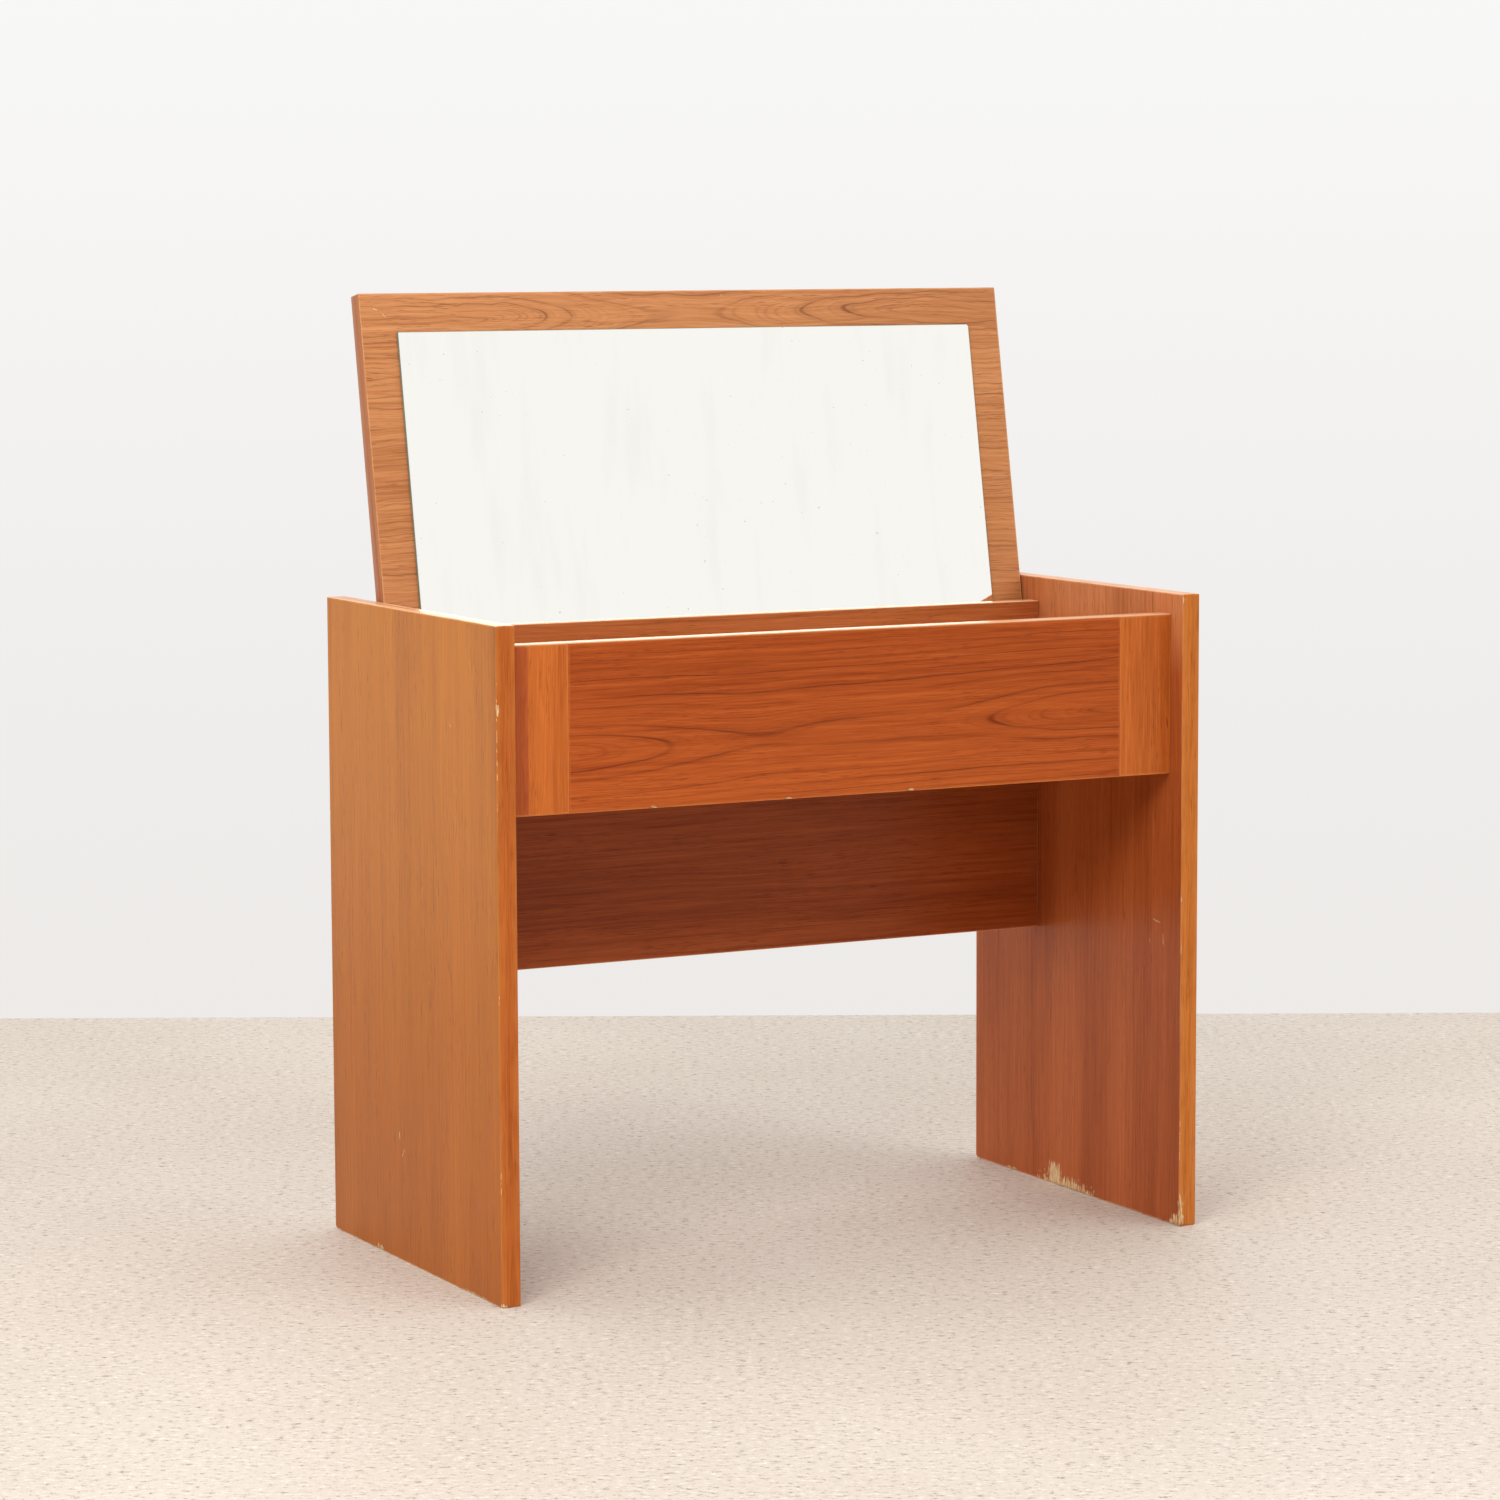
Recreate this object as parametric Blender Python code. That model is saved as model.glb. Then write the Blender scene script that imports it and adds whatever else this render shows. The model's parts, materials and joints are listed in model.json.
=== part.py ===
"""Vanity table: two slab gables joined by a recessed apron and a back panel, with a lid that turns on
two side pins and carries a mirror on its inner face.

The table stands on z = 0 with the middle of its footprint at the origin. X runs from the left gable to
the right one, the front faces -Y and +Z is up. The lid stands open, leaning back on the back panel.
All sizes are in metres.
"""

import math

import bmesh
import bpy
from mathutils import Matrix, Vector

# Overall sizes of the table with its lid closed.
TABLE_WIDTH = 0.800
TABLE_DEPTH = 0.421
GABLE_HEIGHT = 0.665

# Boards and their solid edge lippings.
GABLE_THICKNESS = 0.020
APRON_THICKNESS = 0.019
BACK_PANEL_THICKNESS = 0.019
LID_THICKNESS = 0.019
LIPPING_WIDTH = 0.008
GABLE_HEEL_RADIUS = 0.0065

# Apron: the front board, a field with a stile at each end.
APRON_RECESS = 0.023
APRON_HEIGHT = 0.167
LEFT_STILE_WIDTH = 0.067
RIGHT_STILE_WIDTH = 0.062
TONGUE_THICKNESS = 0.004
TONGUE_WIDTH = 0.012
TONGUE_END_MARGIN = 0.022
TONGUE_ABOVE_BOTTOM = 0.008

# Back panel.
BACK_PANEL_INSET = 0.1155
BACK_PANEL_HEIGHT = 0.3586

# Lid and mirror. The closed lid lies on the apron, a little below the tops of the gables.
LID_TOP_DROP = 0.0022
LID_FRONT_SETBACK = 0.003
LID_SIDE_GAP = 0.002
LID_STOP_GAP = 0.0003
PIVOT_BEHIND_PANEL = 0.0257
MIRROR_THICKNESS = 0.003
MIRROR_END_MARGIN = 0.041
MIRROR_SIDE_MARGIN = 0.0395
MIRROR_PANEL_CLEARANCE = 0.0012

# Pivots.
PIN_DIAMETER = 0.006
PIN_IN_LID = 0.020
PIN_IN_GABLE = 0.011
PIN_CHAMFER = 0.0006
BUSH_DIAMETER = 0.010
BUSH_LENGTH = 0.012
BUSH_FLANGE_DIAMETER = 0.015
BUSH_FLANGE_THICKNESS = 0.0012

# Compartment bottom and the battens under its ends.
BOTTOM_THICKNESS = 0.006
BOTTOM_ABOVE_APRON_EDGE = 0.0195
GROOVE_DEPTH = 0.006
BATTEN_SIZE = 0.015

# Dowels.
DOWEL_DIAMETER = 0.008
DOWEL_IN_GABLE = 0.012
DOWEL_IN_PANEL = 0.018
DOWEL_CHAMFER = 0.001
DOWEL_END_SPACE = 0.001
APRON_DOWELS = 3
BACK_PANEL_DOWELS = 4
DOWEL_EDGE_MARGIN = 0.032

# Wood screws through the battens.
SCREW_DIAMETER = 0.004
SCREW_LENGTH = 0.027
SCREW_POINT = 0.005
SCREW_TIP_DIAMETER = 0.001
SCREW_HEAD_DIAMETER = 0.008
SCREW_HEAD_DEPTH = 0.0024
SCREW_HEAD_RIM = 0.0003
SCREW_SLOT_WIDTH = 0.001
SCREW_SLOT_DEPTH = 0.001
BATTEN_SCREW_PLACES = (0.2, 0.8)

# Gap left between pieces that touch, and how far a cutter runs past the face that it opens.
FIT_GAP = 0.0003
CUT_PAST = 0.001

# Flat sides of the turned and rounded shapes, and the distances below which points count as one.
DOWEL_SIDES = 16
TURNED_SIDES = 32
HEEL_SEGMENTS = 5
SAME_POINT = 0.000001
NO_LENGTH = 0.0000001

# Places worked out from the sizes above.
GABLE_FACE_X = TABLE_WIDTH / 2 - GABLE_THICKNESS
FRONT_Y = -TABLE_DEPTH / 2
REAR_Y = TABLE_DEPTH / 2
APRON_TOP = GABLE_HEIGHT - LID_TOP_DROP - LID_THICKNESS - FIT_GAP
APRON_BOTTOM = APRON_TOP - APRON_HEIGHT
APRON_FRONT_Y = FRONT_Y + APRON_RECESS
APRON_REAR_Y = APRON_FRONT_Y + APRON_THICKNESS
PANEL_REAR_Y = REAR_Y - BACK_PANEL_INSET
PANEL_FRONT_Y = PANEL_REAR_Y - BACK_PANEL_THICKNESS
PANEL_TOP = APRON_TOP - MIRROR_THICKNESS - MIRROR_PANEL_CLEARANCE
PANEL_BOTTOM = PANEL_TOP - BACK_PANEL_HEIGHT
BOTTOM_Z = APRON_BOTTOM + BOTTOM_ABOVE_APRON_EDGE

# The pivot's height is the middle of the closed lid. The lid's lower front edge meets the back panel's
# rear face as it opens, which sets how far it leans back past upright.
PIVOT_Y = PANEL_REAR_Y + PIVOT_BEHIND_PANEL
PIVOT_Z = APRON_TOP + FIT_GAP + LID_THICKNESS / 2
LID_BEHIND_PIVOT = REAR_Y - PIVOT_Y
LID_BEFORE_PIVOT = PIVOT_Y - FRONT_Y - LID_FRONT_SETBACK
LID_HALF_WIDTH = GABLE_FACE_X - LID_SIDE_GAP
LID_LEAN = math.asin(
    (PIVOT_BEHIND_PANEL - LID_STOP_GAP) / math.hypot(LID_BEHIND_PIVOT, LID_THICKNESS / 2)
) - math.atan2(LID_THICKNESS / 2, LID_BEHIND_PIVOT)

SIDES = {"left": -1, "right": 1}

# Each finish: sRGB colour, roughness, metallic.
FINISHES = {
    "gable_teak": ("#BE7440", 0.36, 0.0),
    "panel_teak": ("#A9552C", 0.36, 0.0),
    "stile_teak": ("#C4702F", 0.36, 0.0),
    "back_teak": ("#8A4324", 0.38, 0.0),
    "lid_teak": ("#C98350", 0.36, 0.0),
    "lipping_teak": ("#C36A2C", 0.38, 0.0),
    "plywood": ("#C9A679", 0.60, 0.0),
    "pine": ("#D2AE7C", 0.60, 0.0),
    "beech": ("#D3A877", 0.55, 0.0),
    "mirror": ("#F2F3F0", 0.02, 1.0),
    "steel": ("#B9BABC", 0.30, 1.0),
    "brass": ("#C9A254", 0.32, 1.0),
}


def clear_scene():
    """Remove every object, so that the model starts from nothing."""
    for obj in list(bpy.data.objects):
        bpy.data.objects.remove(obj, do_unlink=True)


def linear_colour(hex_colour):
    """Turn an sRGB hex colour into the linear RGBA that a shader takes."""
    channels = []
    for start in (1, 3, 5):
        value = int(hex_colour[start:start + 2], 16) / 255
        linear = value / 12.92 if value <= 0.04045 else ((value + 0.055) / 1.055) ** 2.4
        channels.append(linear)
    return (*channels, 1.0)


def finish_material(name, finish):
    """A Principled material for one piece."""
    colour, roughness, metallic = FINISHES[finish]
    material = bpy.data.materials.new(name + "_finish")
    material.use_nodes = True
    shader = material.node_tree.nodes["Principled BSDF"]
    shader.inputs["Base Color"].default_value = linear_colour(colour)
    shader.inputs["Roughness"].default_value = roughness
    shader.inputs["Metallic"].default_value = metallic
    material.diffuse_color = linear_colour(colour)
    return material


def add_object(name, bm, location=(0, 0, 0), parent=None):
    """Turn a bmesh into a named object in the scene."""
    bmesh.ops.recalc_face_normals(bm, faces=bm.faces[:])
    mesh = bpy.data.meshes.new(name)
    bm.to_mesh(mesh)
    bm.free()
    obj = bpy.data.objects.new(name, mesh)
    obj.location = location
    obj.parent = parent
    bpy.context.scene.collection.objects.link(obj)
    return obj


def add_piece(name, bm, finish, location=(0, 0, 0), parent=None):
    """Add a piece of the table, with its own material."""
    obj = add_object(name, bm, location, parent)
    obj.data.materials.append(finish_material(name, finish))
    return obj


def add_cutter(name, bm, parent=None):
    """Add a helper that only cuts other pieces."""
    cutter = add_object(name, bm, parent=parent)
    cutter.hide_render = True
    cutter.display_type = "WIRE"
    return cutter


def cut(piece, cutter):
    """Take the cutter's shape out of a piece."""
    modifier = piece.modifiers.new(cutter.name, "BOOLEAN")
    modifier.operation = "DIFFERENCE"
    modifier.solver = "EXACT"
    modifier.object = cutter


def box_into(bm, low, high):
    """Add a box between two corners to a bmesh."""
    low = Vector(low)
    high = Vector(high)
    middle = (low + high) / 2
    size = high - low
    matrix = Matrix.Translation(middle) @ Matrix.Diagonal((*size, 1))
    bmesh.ops.create_cube(bm, size=1, matrix=matrix)


def board(name, low, high, finish, parent=None):
    """A plain board between two corners, with its origin in its middle."""
    middle = (Vector(low) + Vector(high)) / 2
    bm = bmesh.new()
    box_into(bm, Vector(low) - middle, Vector(high) - middle)
    return add_piece(name, bm, finish, middle, parent)


def span(side, near, far):
    """The low and high x of a stretch given by its distances from the middle on one side."""
    return sorted((side * near, side * far))


def turned_into(bm, outline, sides, x, y, z, side):
    """Add a body turned about a line along X. The outline is (distance along the line, radius)."""
    verts = []
    for along, radius in outline:
        verts.append(bm.verts.new((x + side * along, y, z + radius)))
    edges = []
    for first, second in zip(verts, verts[1:] + verts[:1]):
        edges.append(bm.edges.new((first, second)))
    bmesh.ops.spin(
        bm,
        geom=verts + edges,
        cent=(x, y, z),
        axis=(1, 0, 0),
        angle=math.tau,
        steps=sides,
        use_merge=True,
    )
    bmesh.ops.remove_doubles(bm, verts=bm.verts[:], dist=SAME_POINT)
    bmesh.ops.dissolve_degenerate(bm, edges=bm.edges[:], dist=NO_LENGTH)
    on_axis = [edge for edge in bm.edges if is_on_line(edge, y, z)]
    bmesh.ops.delete(bm, geom=on_axis, context="EDGES")


def is_on_line(edge, y, z):
    """Whether both ends of an edge lie on the line along X through y, z."""
    return all(math.hypot(vert.co.y - y, vert.co.z - z) < SAME_POINT for vert in edge.verts)


def spread(low, high, count):
    """Evenly spaced places from low to high."""
    return [low + (high - low) * step / (count - 1) for step in range(count)]


def dowel_outline(radius, length, chamfer):
    """A dowel's outline, from its end in the panel to its end in the gable."""
    return [(0, 0), (0, radius - chamfer), (chamfer, radius), (length - chamfer, radius),
            (length, radius - chamfer), (length, 0)]


def screw_outline(grow):
    """A countersunk screw's outline from head to point, made larger all round by grow."""
    shank = SCREW_DIAMETER / 2 + grow
    head = SCREW_HEAD_DIAMETER / 2 + grow
    tip = SCREW_TIP_DIAMETER / 2 + grow
    point = SCREW_LENGTH + grow
    top = -CUT_PAST if grow else 0
    return [(top, 0), (top, head), (SCREW_HEAD_RIM, head), (SCREW_HEAD_DEPTH, shank),
            (point - SCREW_POINT, shank), (point, tip), (point, 0)]


def make_gable(side_name, side):
    """A gable: the veneered board and the solid lippings on its front, back and top edges."""
    near, far = span(side, GABLE_FACE_X, GABLE_FACE_X + GABLE_THICKNESS)
    board_top = GABLE_HEIGHT - LIPPING_WIDTH - FIT_GAP
    front_joint = FRONT_Y + LIPPING_WIDTH
    rear_joint = REAR_Y - LIPPING_WIDTH
    gable = board(
        side_name + "_gable",
        (near, front_joint + FIT_GAP, 0),
        (far, rear_joint - FIT_GAP, board_top),
        "gable_teak",
    )
    board(
        side_name + "_gable_front_lipping",
        (near, FRONT_Y, 0),
        (far, front_joint, board_top),
        "lipping_teak",
    )
    top_lipping = board(
        side_name + "_gable_top_lipping",
        (near, FRONT_Y, GABLE_HEIGHT - LIPPING_WIDTH),
        (far, REAR_Y, GABLE_HEIGHT),
        "lipping_teak",
    )
    make_rear_lipping(side_name + "_gable_back_lipping", near, far, rear_joint, board_top)
    return gable, top_lipping


def make_rear_lipping(name, near, far, joint_y, top):
    """The lipping on a gable's back edge, rounded where it meets the floor."""
    middle = Vector(((near + far) / 2, (joint_y + REAR_Y) / 2, top / 2))
    bm = bmesh.new()
    box_into(bm, Vector((near, joint_y, 0)) - middle, Vector((far, REAR_Y, top)) - middle)
    heel = [edge for edge in bm.edges if all(v.co.y > 0 and v.co.z < 0 for v in edge.verts)]
    bmesh.ops.bevel(
        bm,
        geom=heel,
        offset=min(GABLE_HEEL_RADIUS, LIPPING_WIDTH - FIT_GAP),
        segments=HEEL_SEGMENTS,
        affect="EDGES",
        profile=0.5,
    )
    add_piece(name, bm, "lipping_teak", middle)


def make_apron():
    """The apron: the field, a stile at each end, and lippings along its top and bottom edges."""
    end_x = GABLE_FACE_X - FIT_GAP
    low_joint = APRON_BOTTOM + LIPPING_WIDTH
    high_joint = APRON_TOP - LIPPING_WIDTH
    widths = {"left": LEFT_STILE_WIDTH, "right": RIGHT_STILE_WIDTH}
    stiles = {}
    for side_name, side in SIDES.items():
        near, far = span(side, end_x - widths[side_name], end_x)
        stiles[side_name] = board(
            "apron_" + side_name + "_stile",
            (near, APRON_FRONT_Y, low_joint + FIT_GAP),
            (far, APRON_REAR_Y, high_joint - FIT_GAP),
            "stile_teak",
        )
    field = board(
        "apron_field",
        (-end_x + LEFT_STILE_WIDTH + FIT_GAP, APRON_FRONT_Y, low_joint + FIT_GAP),
        (end_x - RIGHT_STILE_WIDTH - FIT_GAP, APRON_REAR_Y, high_joint - FIT_GAP),
        "panel_teak",
    )
    board(
        "apron_top_lipping",
        (-end_x, APRON_FRONT_Y, high_joint),
        (end_x, APRON_REAR_Y, APRON_TOP),
        "lipping_teak",
    )
    board(
        "apron_bottom_lipping",
        (-end_x, APRON_FRONT_Y, APRON_BOTTOM),
        (end_x, APRON_REAR_Y, low_joint),
        "lipping_teak",
    )
    for side_name, side in SIDES.items():
        make_tongue(side_name, side, end_x - widths[side_name] - FIT_GAP / 2, stiles[side_name], field)
    return field, stiles


def make_tongue(side_name, side, joint_x, stile, field):
    """The loose tongue between the apron's field and one stile, and the groove that it fills."""
    middle_y = (APRON_FRONT_Y + APRON_REAR_Y) / 2
    near, far = span(side, joint_x - TONGUE_WIDTH / 2, joint_x + TONGUE_WIDTH / 2)
    low_z = BOTTOM_Z + BOTTOM_THICKNESS + TONGUE_ABOVE_BOTTOM
    high_z = APRON_TOP - TONGUE_END_MARGIN
    low = Vector((near, middle_y - TONGUE_THICKNESS / 2, low_z))
    high = Vector((far, middle_y + TONGUE_THICKNESS / 2, high_z))
    board("apron_" + side_name + "_tongue", low, high, "beech")
    gap = Vector((FIT_GAP, FIT_GAP, FIT_GAP))
    bm = bmesh.new()
    box_into(bm, low - gap, high + gap)
    groove = add_cutter("apron_" + side_name + "_tongue_groove", bm)
    cut(stile, groove)
    cut(field, groove)


def make_back_panel():
    """The back panel, with lippings along its top and bottom edges."""
    end_x = GABLE_FACE_X - FIT_GAP
    low_joint = PANEL_BOTTOM + LIPPING_WIDTH
    high_joint = PANEL_TOP - LIPPING_WIDTH
    panel = board(
        "back_panel",
        (-end_x, PANEL_FRONT_Y, low_joint + FIT_GAP),
        (end_x, PANEL_REAR_Y, high_joint - FIT_GAP),
        "back_teak",
    )
    board(
        "back_panel_top_lipping",
        (-end_x, PANEL_FRONT_Y, high_joint),
        (end_x, PANEL_REAR_Y, PANEL_TOP),
        "lipping_teak",
    )
    board(
        "back_panel_bottom_lipping",
        (-end_x, PANEL_FRONT_Y, PANEL_BOTTOM),
        (end_x, PANEL_REAR_Y, low_joint),
        "lipping_teak",
    )
    return panel


def make_compartment_bottom(grooved_boards):
    """The compartment's bottom, and the grooves in the apron and back panel that hold it."""
    end_x = GABLE_FACE_X - FIT_GAP
    into_groove = GROOVE_DEPTH - FIT_GAP
    board(
        "compartment_bottom",
        (-end_x, APRON_REAR_Y - into_groove, BOTTOM_Z),
        (end_x, PANEL_FRONT_Y + into_groove, BOTTOM_Z + BOTTOM_THICKNESS),
        "plywood",
    )
    past_x = GABLE_FACE_X + CUT_PAST
    low_z = BOTTOM_Z - FIT_GAP
    high_z = BOTTOM_Z + BOTTOM_THICKNESS + FIT_GAP
    bm = bmesh.new()
    box_into(bm, (-past_x, APRON_REAR_Y - GROOVE_DEPTH, low_z), (past_x, APRON_REAR_Y + CUT_PAST, high_z))
    box_into(bm, (-past_x, PANEL_FRONT_Y - CUT_PAST, low_z), (past_x, PANEL_FRONT_Y + GROOVE_DEPTH, high_z))
    grooves = add_cutter("compartment_bottom_grooves", bm)
    for grooved in grooved_boards:
        cut(grooved, grooves)


def make_batten(side_name, side, gable):
    """The batten under one end of the bottom, and the screws that hold it to the gable."""
    inner_x = GABLE_FACE_X - FIT_GAP - BATTEN_SIZE
    near, far = span(side, inner_x, GABLE_FACE_X - FIT_GAP)
    low_y = APRON_REAR_Y + FIT_GAP
    high_y = PANEL_FRONT_Y - FIT_GAP
    high_z = BOTTOM_Z - FIT_GAP
    batten = board(
        side_name + "_batten",
        (near, low_y, high_z - BATTEN_SIZE),
        (far, high_y, high_z),
        "pine",
    )
    screw_z = high_z - BATTEN_SIZE / 2
    bores = bmesh.new()
    slots = bmesh.new()
    screws = []
    for number, place in enumerate(BATTEN_SCREW_PLACES, start=1):
        screw_y = low_y + (high_y - low_y) * place
        bm = bmesh.new()
        turned_into(bm, screw_outline(0), DOWEL_SIDES, 0, 0, 0, side)
        name = f"{side_name}_batten_screw_{number}"
        screws.append(add_piece(name, bm, "steel", (side * inner_x, screw_y, screw_z)))
        turned_into(bores, screw_outline(FIT_GAP), DOWEL_SIDES, side * inner_x, screw_y, screw_z, side)
        slot_x = span(side, inner_x - CUT_PAST, inner_x + SCREW_SLOT_DEPTH)
        half_slot = SCREW_SLOT_WIDTH / 2
        box_into(
            slots,
            (slot_x[0], screw_y - half_slot, screw_z - SCREW_HEAD_DIAMETER),
            (slot_x[1], screw_y + half_slot, screw_z + SCREW_HEAD_DIAMETER),
        )
    bore_cutter = add_cutter(side_name + "_batten_screw_bores", bores)
    cut(batten, bore_cutter)
    cut(gable, bore_cutter)
    slot_cutter = add_cutter(side_name + "_batten_screw_slots", slots)
    for screw in screws:
        cut(screw, slot_cutter)


def make_dowels(side_name, side, gable, stile, panel):
    """The dowels that join the apron and the back panel to one gable, and their bores."""
    start_x = GABLE_FACE_X - DOWEL_IN_PANEL
    length = DOWEL_IN_PANEL + DOWEL_IN_GABLE
    radius = DOWEL_DIAMETER / 2
    apron_y = (APRON_FRONT_Y + APRON_REAR_Y) / 2
    panel_y = (PANEL_FRONT_Y + PANEL_REAR_Y) / 2
    apron_low = BOTTOM_Z + BOTTOM_THICKNESS + DOWEL_DIAMETER
    rows = {
        "apron": (apron_y, spread(apron_low, APRON_TOP - DOWEL_EDGE_MARGIN, APRON_DOWELS)),
        "back_panel": (
            panel_y,
            spread(PANEL_BOTTOM + DOWEL_EDGE_MARGIN, PANEL_TOP - DOWEL_EDGE_MARGIN, BACK_PANEL_DOWELS),
        ),
    }
    bores = bmesh.new()
    bore_length = length + 2 * DOWEL_END_SPACE
    bore_x = side * (start_x - DOWEL_END_SPACE)
    for joint, (row_y, heights) in rows.items():
        for number, height in enumerate(heights, start=1):
            bm = bmesh.new()
            turned_into(bm, dowel_outline(radius, length, DOWEL_CHAMFER), DOWEL_SIDES, 0, 0, 0, side)
            name = f"{joint}_{side_name}_dowel_{number}"
            add_piece(name, bm, "beech", (side * start_x, row_y, height))
            outline = dowel_outline(radius + FIT_GAP, bore_length, DOWEL_CHAMFER)
            turned_into(bores, outline, DOWEL_SIDES, bore_x, row_y, height, side)
    cutter = add_cutter(side_name + "_dowel_bores", bores)
    for bored in (gable, stile, panel):
        cut(bored, cutter)


def make_lid(hinge):
    """The lid and its lippings, in the hinge's own frame with the lid lying closed."""
    half_thickness = LID_THICKNESS / 2
    front = -LID_BEFORE_PIVOT
    rear = LID_BEHIND_PIVOT
    inner_x = LID_HALF_WIDTH - LIPPING_WIDTH
    inner_front = front + LIPPING_WIDTH + FIT_GAP
    inner_rear = rear - LIPPING_WIDTH - FIT_GAP
    core = board(
        "lid_board",
        (-inner_x + FIT_GAP, inner_front, -half_thickness),
        (inner_x - FIT_GAP, inner_rear, half_thickness),
        "lid_teak",
        hinge,
    )
    ends = {"front": (front, front + LIPPING_WIDTH), "back": (rear - LIPPING_WIDTH, rear)}
    for end_name, (low_y, high_y) in ends.items():
        board(
            "lid_" + end_name + "_lipping",
            (-LID_HALF_WIDTH, low_y, -half_thickness),
            (LID_HALF_WIDTH, high_y, half_thickness),
            "lipping_teak",
            hinge,
        )
    for side_name, side in SIDES.items():
        near, far = span(side, inner_x, LID_HALF_WIDTH)
        lipping = board(
            "lid_" + side_name + "_lipping",
            (near, inner_front, -half_thickness),
            (far, inner_rear, half_thickness),
            "lipping_teak",
            hinge,
        )
        make_pivot_pin(side_name, side, hinge, (core, lipping))


def make_pivot_pin(side_name, side, hinge, bored_pieces):
    """The pin in one end of the lid, on the hinge's axis, and its bore."""
    radius = PIN_DIAMETER / 2
    start_x = LID_HALF_WIDTH - PIN_IN_LID
    length = PIN_IN_LID + LID_SIDE_GAP + PIN_IN_GABLE
    bm = bmesh.new()
    turned_into(bm, dowel_outline(radius, length, PIN_CHAMFER), TURNED_SIDES, 0, 0, 0, side)
    add_piece(side_name + "_pivot_pin", bm, "steel", (side * start_x, 0, 0), hinge)
    bore = bmesh.new()
    outline = [(-FIT_GAP, 0), (-FIT_GAP, radius + FIT_GAP), (length, radius + FIT_GAP), (length, 0)]
    turned_into(bore, outline, TURNED_SIDES, side * start_x, 0, 0, side)
    cutter = add_cutter(side_name + "_pivot_pin_bore", bore, hinge)
    for bored in bored_pieces:
        cut(bored, cutter)


def make_pivot_bush(side_name, side, bored_pieces):
    """The flanged bush in one gable, which the pin turns in, and its bore in the board and its lipping."""
    inner = PIN_DIAMETER / 2 + FIT_GAP
    outer = BUSH_DIAMETER / 2
    flange = BUSH_FLANGE_DIAMETER / 2
    flange_start = -FIT_GAP - BUSH_FLANGE_THICKNESS
    outline = [
        (flange_start, inner),
        (flange_start, flange),
        (-FIT_GAP, flange),
        (-FIT_GAP, outer),
        (BUSH_LENGTH, outer),
        (BUSH_LENGTH, inner),
    ]
    bm = bmesh.new()
    turned_into(bm, outline, TURNED_SIDES, 0, 0, 0, side)
    add_piece(side_name + "_pivot_bush", bm, "brass", (side * GABLE_FACE_X, PIVOT_Y, PIVOT_Z))
    bore = bmesh.new()
    depth = BUSH_LENGTH + FIT_GAP
    bore_outline = [(-CUT_PAST, 0), (-CUT_PAST, outer + FIT_GAP), (depth, outer + FIT_GAP), (depth, 0)]
    turned_into(bore, bore_outline, TURNED_SIDES, side * GABLE_FACE_X, PIVOT_Y, PIVOT_Z, side)
    cutter = add_cutter(side_name + "_pivot_bush_bore", bore)
    for bored in bored_pieces:
        cut(bored, cutter)


def make_mirror(hinge):
    """The mirror plate on the lid's inner face."""
    half_width = LID_HALF_WIDTH - MIRROR_SIDE_MARGIN
    back_z = -LID_THICKNESS / 2 - FIT_GAP
    board(
        "mirror",
        (-half_width, -LID_BEFORE_PIVOT + MIRROR_END_MARGIN, back_z - MIRROR_THICKNESS),
        (half_width, LID_BEHIND_PIVOT - MIRROR_END_MARGIN, back_z),
        "mirror",
        hinge,
    )


def make_hinge():
    """The empty on the hinge's axis, turned so that the lid stands open."""
    hinge = bpy.data.objects.new("lid_hinge", None)
    hinge.location = (0, PIVOT_Y, PIVOT_Z)
    hinge.rotation_euler = (-(math.pi / 2 + LID_LEAN), 0, 0)
    bpy.context.scene.collection.objects.link(hinge)
    return hinge


def make_table():
    clear_scene()
    hinge = make_hinge()
    field, stiles = make_apron()
    panel = make_back_panel()
    make_compartment_bottom((field, stiles["left"], stiles["right"], panel))
    for side_name, side in SIDES.items():
        gable, top_lipping = make_gable(side_name, side)
        make_dowels(side_name, side, gable, stiles[side_name], panel)
        make_batten(side_name, side, gable)
        make_pivot_bush(side_name, side, (gable, top_lipping))
    make_lid(hinge)
    make_mirror(hinge)
    bpy.context.view_layer.update()


make_table()
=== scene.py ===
import json
import math

import bmesh
import bpy
from mathutils import Matrix, Vector, noise


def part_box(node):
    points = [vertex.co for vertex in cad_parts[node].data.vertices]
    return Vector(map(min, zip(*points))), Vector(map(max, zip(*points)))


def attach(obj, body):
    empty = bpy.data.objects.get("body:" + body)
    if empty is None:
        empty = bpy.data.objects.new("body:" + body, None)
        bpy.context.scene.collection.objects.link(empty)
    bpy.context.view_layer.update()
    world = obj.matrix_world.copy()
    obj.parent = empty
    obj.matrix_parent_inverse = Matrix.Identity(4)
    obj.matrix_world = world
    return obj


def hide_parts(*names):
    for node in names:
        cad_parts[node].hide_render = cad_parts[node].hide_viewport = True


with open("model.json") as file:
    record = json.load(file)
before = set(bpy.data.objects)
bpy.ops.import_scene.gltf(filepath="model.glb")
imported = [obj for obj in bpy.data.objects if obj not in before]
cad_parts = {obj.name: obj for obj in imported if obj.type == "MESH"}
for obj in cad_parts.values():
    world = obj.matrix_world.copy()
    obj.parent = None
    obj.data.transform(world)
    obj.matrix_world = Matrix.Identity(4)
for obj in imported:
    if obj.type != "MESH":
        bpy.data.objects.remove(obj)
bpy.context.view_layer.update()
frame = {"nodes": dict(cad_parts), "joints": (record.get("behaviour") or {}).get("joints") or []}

MM = 0.001

# Softened edges: of most boards, of boards that meet flush with others, and of the apron's edges.
ARRIS = 0.9 * MM
FINE_ARRIS = 0.08 * MM
STRIP_ARRIS = 0.4 * MM
ARRIS_TURNS = (90, 60, 30, 0)

# Rounded corners in a board's outline: of most boards, and the rear heel of the gables.
CORNER = 1.6 * MM
HEEL_CORNER = 6.5 * MM
CORNER_STEPS = 5

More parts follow.
